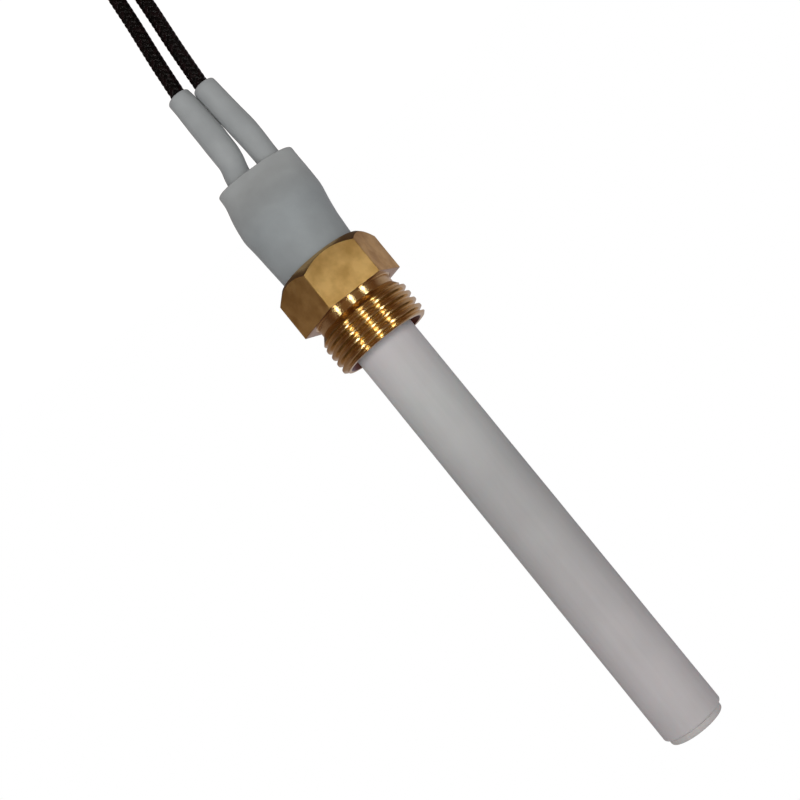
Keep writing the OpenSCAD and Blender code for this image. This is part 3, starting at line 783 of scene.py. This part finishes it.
def lead_line(side):
    """Centre line of a lead, from where its braid starts inside the small sleeve to the braid's cut end."""
    lead = LEADS[side]
    low, high = box_mm(f"braid_{side}_tail")
    joint_z = joints[f"lead_{side}_bend"]["pos_m"][2] / MM
    lean = math.radians(lead["lean"])
    to_joint = (BEND_Z - BEND_R * math.sin(lean) - joint_z) / math.cos(lean)
    steps = [(high.z - BEND_Z, 0), (BEND_R * lean, lead["lean"]), (to_joint + RUN_FIRST, 0),
             (CURVE_LEN, -lead["curve"]), (RUN_LAST, 0)]
    return Line(low.x + LEAD_R, high.z, steps, LEAD_ASIDE, (high.z + ASIDE_TO, high.z + BACK_AT))


def blend_at_joint(made):
    """Bakes the placement of a lead's piece into its mesh."""
    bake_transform(made)


def weave(s, angles):
    """Height of a two-over-two-under braid and its yarns' fields, over a grid of lengths and angles."""
    turn = angles[None, :] / math.tau
    run = s[:, None] / BRAID_PITCH
    a, b = CARRIERS * (turn + run), CARRIERS * (turn - run)
    yarn_a, yarn_b = np.floor(a), np.floor(b)
    across_a, across_b = 2 * (a - yarn_a) - 1, 2 * (b - yarn_b) - 1
    over_a = np.cos(math.tau * (yarn_a + b - 1) / 4)
    over_b = -np.cos(math.tau * (a + yarn_b - 1) / 4)
    height_a = YARN_RISE * over_a + YARN_THICK * np.sqrt(1 - across_a ** 2 * YARN_ROUNDNESS)
    height_b = YARN_RISE * over_b + YARN_THICK * np.sqrt(1 - across_b ** 2 * YARN_ROUNDNESS)
    top_a = height_a > height_b
    tint = np.random.default_rng(7).random(2 * CARRIERS)
    number = np.where(top_a, yarn_a % CARRIERS, yarn_b % CARRIERS + CARRIERS).astype(int)
    fields = {
        "across": np.where(top_a, across_a, across_b),
        "along": np.where(top_a, b, a),
        "yarn": tint[number],
    }
    return np.maximum(height_a, height_b), fields


def build_braid(side):
    """The glass braid as one woven skin, closed at both ends over the inner insulation."""
    line = lead_line(side)
    angles = np.linspace(0, math.tau, 96, endpoint=False)
    row_gap, inner_step, proud = 0.088, 8, 0.02
    s = np.arange(0, line.length, row_gap)
    height, fields = weave(s, angles)
    outer = line.sweep(s, LEAD_R + proud - height.max() + height, angles)
    back = np.append(np.arange(len(s) - 1, 0, -inner_step), 0)
    inner = line.sweep(s[back], np.full(len(back), LEAD_R - BRAID_WALL), angles)
    grid = np.concatenate([outer, inner])
    fields = {key: np.concatenate([value, value[back]]) for key, value in fields.items()}
    made = piece(f"braid_{side}_woven", grid, quads(*grid.shape[:2]), BRAID, sharp=75, attributes=fields)
    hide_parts(f"braid_{side}_tail", f"braid_{side}")
    blend_at_joint(made)


def build_insulation(side):
    """The rubber insulation under the braid."""
    line = lead_line(side)
    angles = np.linspace(0, math.tau, 24, endpoint=False)
    s = np.append(np.arange(0, line.length, 0.5), line.length)
    outer_r = LEAD_R - BRAID_WALL - INSULATION_GAP
    outer = line.sweep(s, np.full(len(s), outer_r), angles)
    bore = line.sweep(s[::-1], np.full(len(s), INSULATION_BORE_R), angles)
    grid = np.concatenate([outer, bore])
    made = piece(f"insulation_{side}_tube", grid, quads(*grid.shape[:2]), INSULATION, sharp=50)
    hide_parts(f"insulation_{side}_tail", f"insulation_{side}")
    blend_at_joint(made)


def build_conductor(side):
    """The stranded conductor: a twisted bundle with a ring of strands outside, seen at the wire end."""
    line = lead_line(side)
    start = box_mm(f"braid_{side}_tail")[1].z - box_mm(f"conductor_{side}_tail")[1].z
    angles = np.linspace(0, math.tau, STRANDS * 8, endpoint=False)
    s = np.arange(start, line.length + CONDUCTOR_PAST_BRAID, 0.3)
    twist = angles[None, :] - math.tau * s[:, None] / STRAND_LAY
    radius = BUNDLE_R + STRAND_H * np.sqrt(np.abs(np.sin(STRANDS * twist / 2)))
    grid = line.sweep(s, radius, angles)
    rows, columns = grid.shape[:2]
    faces = quads(rows, columns, closed=False) + caps(rows, columns)
    made = piece(f"conductor_{side}_strands", grid, faces, TIN, sharp=40)
    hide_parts(f"conductor_{side}_tail", f"conductor_{side}")
    blend_at_joint(made)


def lead_end_piece(name, side, profile, material, node):
    """A turned piece on a lead's straight end, from an outline of (length past the braid's end, radius)."""
    line = lead_line(side)
    angles = np.linspace(0, math.tau, 64, endpoint=False)
    s = line.length + np.array([p[0] for p in profile])
    grid = line.sweep(s, np.array([p[1] for p in profile]), angles)
    made = piece(name, grid, quads(*grid.shape[:2]), material, sharp=45)
    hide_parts(node)
    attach(made, f"lead_{side}")


def build_lead_end(side):
    """The end sleeve over the braid's cut end, and the plated wire-end ferrule that comes out of it."""
    sleeve = rounded([
        (-5, 1.34, 0.08), (-5, 1.60, 0.2), (-1.5, 1.64, 1.5), (0.4, 1.55, 1.0),
        (2, 1.45, 0.18), (2, 1.16, 0.08), (0.2, 1.16, 0.1), (-0.3, 1.34, 0.1)], 5)
    lead_end_piece(f"end_sleeve_{side}_rubber", side, sleeve, SLEEVE, f"end_sleeve_{side}")
    barrel_r, dent_r, wire_r = 0.75, 0.68, 0.5
    first_dent, dent_step, dent_round = 2.6, 1.1, 0.12
    dents = []
    for k in range(4):
        for offset, radius in ((0, barrel_r), (0.18, dent_r), (0.5, dent_r), (0.68, barrel_r)):
            dents.append((first_dent + k * dent_step + offset, radius, dent_round))
    ferrule = rounded([
        (0.4, wire_r, 0.02), (0.4, 1.1, 0.05), (1.6, 1.1, 0.15), (2.0, barrel_r, 0.15), *dents,
        (10.0, barrel_r, 0.06), (10.0, wire_r, 0.04)], 4)
    lead_end_piece(f"ferrule_{side}_plated", side, ferrule, TIN, f"ferrule_{side}")


# ---------------------------------------------------------------- hidden CAD nodes

def paint_hidden():
    """Node materials for the inner pieces that keep their CAD shape."""
    slots = {part["node"]: part["material_slot"] for part in record["subparts"]}
    for name, node in frame["nodes"].items():
        if node.hide_render:
            continue
        for slot in node.material_slots:
            slot.material = HIDDEN[slots[name]]


# ---------------------------------------------------------------- studio

# The camera's place is in millimetres, and its directions are in the CAD frame
CAMERA_PLACE = (0.5, 196.5, 34.213)
CAMERA_FORWARD = (-0.02295, -0.99594, -0.08702)
CAMERA_UP = (0.63153, 0.05303, -0.77353)
CAMERA_LENS, SENSOR_WIDTH = 55.2, 36.0
FLOOR_R, FLOOR_BELOW = 600, 60
LIGHT_TINT = (0.96, 1.0, 0.98)


def build_camera():
    """The camera stands on the +Y side, rolled so that the rod runs down to the right."""
    data = bpy.data.cameras.new("camera")
    data.lens, data.sensor_width = CAMERA_LENS, SENSOR_WIDTH
    data.clip_start, data.clip_end = 0.01, 20.0
    camera = bpy.data.objects.new("camera", data)
    forward, up = Vector(CAMERA_FORWARD).normalized(), Vector(CAMERA_UP)
    right = forward.cross(up).normalized()
    up = right.cross(forward)
    turn = Matrix((right, up, -forward)).transposed()
    camera.matrix_world = Matrix.Translation(Vector(CAMERA_PLACE) * MM) @ turn.to_4x4()
    bpy.context.scene.collection.objects.link(camera)
    bpy.context.scene.camera = camera


def soft_light(name, azimuth, elevation, distance, width, height, watts, mirrored=True):
    """A soft box that faces the fitting, in millimetres. Its azimuth grows from the seen side towards +X."""
    data = bpy.data.lights.new(name, "AREA")
    data.shape, data.size, data.size_y = "RECTANGLE", width * MM, height * MM
    data.energy, data.color = watts, LIGHT_TINT if mirrored else (1, 1, 1)
    light = bpy.data.objects.new(name, data)
    a, e = math.radians(azimuth), math.radians(elevation)
    away = Vector((math.sin(a) * math.cos(e), math.cos(a) * math.cos(e), math.sin(e)))
    light.location = away * distance * MM
    light.rotation_mode = "QUATERNION"
    side = Vector((0, 0, 1)).cross(away).normalized()
    top = away.cross(side)
    light.rotation_quaternion = Matrix((side, top, away)).transposed().to_quaternion()
    light.visible_camera, light.visible_glossy = False, mirrored
    bpy.context.scene.collection.objects.link(light)


def build_floor():
    """A wide disc below the lead ends. The camera sees it white, and the brass mirrors it dark and brown."""
    height = box_mm("ferrule_b")[0].z - FLOOR_BELOW
    rings = [(FLOOR_R * share, height) for share in np.linspace(0.02, 1, 12)]
    grid = turned(rings, np.linspace(0, math.tau, 96, endpoint=False))
    rows, columns = grid.shape[:2]
    faces = quads(rows, columns, closed=False) + caps(rows, columns)[:1]
    paint = Paint("floor", Roughness=0.8)
    paint.finish(paint.ramp(paint.noise(0.02), (0.3, (0.07, 0.05, 0.042)), (0.7, (0.08, 0.06, 0.05))))
    glow = paint.add("ShaderNodeEmission", {"Color": (1, 1, 1, 1), "Strength": 0.97}).outputs[0]
    lit = paint.add("ShaderNodeAddShader", {0: glow, 1: paint.surface.outputs[0]}).outputs[0]
    seen = paint.add("ShaderNodeLightPath").outputs["Is Camera Ray"]
    shown = paint.add("ShaderNodeMixShader", {0: seen, 1: paint.surface.outputs[0], 2: lit})
    paint.tree.links.new(shown.outputs[0], paint.tree.nodes["Material Output"].inputs["Surface"])
    piece("floor", grid, faces, paint.material)


# What polished surfaces reflect, along Y from behind the object (-1) to behind the camera (1). The left and
# the right list blend over a band of X, and FILL is what lights matt surfaces.
SURROUND_LEFT = [(-1.0, (0.42, 0.38, 0.40)), (-0.9, (0.24, 0.18, 0.17)), (-0.1, (0.15, 0.10, 0.09)),
                 (0.2, (0.076, 0.035, 0.019)), (0.5, (0.095, 0.037, 0.011)), (1.0, (0.125, 0.052, 0.016))]
SURROUND_RIGHT = [(-1.0, (0.42, 0.38, 0.40)), (-0.8, (0.42, 0.385, 0.48)), (-0.3, (0.31, 0.255, 0.27)),
                  (0.15, (0.10, 0.047, 0.024)), (1.0, (0.125, 0.052, 0.016))]
SIDE_BLEND = 0.25
FILL = (0.54, 0.545, 0.555)


def build_world():
    """White behind the object, an even fill for matt surfaces, and a brown room that polished ones mirror."""
    world = bpy.data.worlds.new("studio")
    world.use_nodes = True
    bpy.context.scene.world = world
    tree = world.node_tree
    tree.nodes.clear()

    def add(kind, *links, **values):
        node = tree.nodes.new(kind)
        for index, source in enumerate(links):
            tree.links.new(source, node.inputs[index])
        for key, value in values.items():
            node.inputs[key.replace("_", " ")].default_value = value
        return node

    def ramp(share, stops):
        node = add("ShaderNodeValToRGB", share)
        points = node.color_ramp.elements
        while len(points) < len(stops):
            points.new(0.5)
        for point, (at, colour) in zip(points, stops):
            point.position, point.color = (at + 1) / 2, (*colour, 1)
        return node.outputs[0]

    axes = add("ShaderNodeSeparateXYZ", add("ShaderNodeTexCoord").outputs["Generated"]).outputs
    along = add("ShaderNodeMapRange", axes["Y"], From_Min=-1.0).outputs[0]
    side = add("ShaderNodeMapRange", axes["X"], From_Min=-SIDE_BLEND, From_Max=SIDE_BLEND).outputs[0]
    room = tree.nodes.new("ShaderNodeMix")
    room.data_type = "RGBA"
    for index, source in ((0, side), (6, ramp(along, SURROUND_LEFT)), (7, ramp(along, SURROUND_RIGHT))):
        tree.links.new(source, room.inputs[index])
    mirrored = add("ShaderNodeBackground", room.outputs[2]).outputs[0]
    fill = add("ShaderNodeBackground", Color=(*FILL, 1)).outputs[0]
    white = add("ShaderNodeBackground", Color=(1, 1, 1, 1)).outputs[0]
    seen = add("ShaderNodeLightPath").outputs
    indirect = add("ShaderNodeMixShader", seen["Is Glossy Ray"], fill, mirrored).outputs[0]
    shown = add("ShaderNodeMixShader", seen["Is Camera Ray"], indirect, white).outputs[0]
    add("ShaderNodeOutputWorld", shown)


def build_studio():
    """Camera, floor and room, three strips that the brass mirrors, and two panels for the matt surfaces."""
    build_camera()
    build_floor()
    build_world()
    bpy.context.scene.view_settings.view_transform = "Standard"
    for azimuth in (-42.6, 3.2, 42.6):
        soft_light(f"strip_{azimuth:.0f}", azimuth, elevation=6, distance=320, width=16, height=170,
                   watts=0.135)
    soft_light("front_panel", azimuth=-8, elevation=-14, distance=500, width=420, height=120, watts=0.72,
               mirrored=False)
    soft_light("back_panel", azimuth=180, elevation=10, distance=600, width=400, height=300, watts=1.4,
               mirrored=False)


for build in (build_fitting, build_cover, build_core, build_cement, build_boot, build_filling):
    build()
for side in LEADS:
    build_small_sleeve(side)
    build_braid(side)
    build_insulation(side)
    build_conductor(side)
    build_lead_end(side)
paint_hidden()
build_studio()
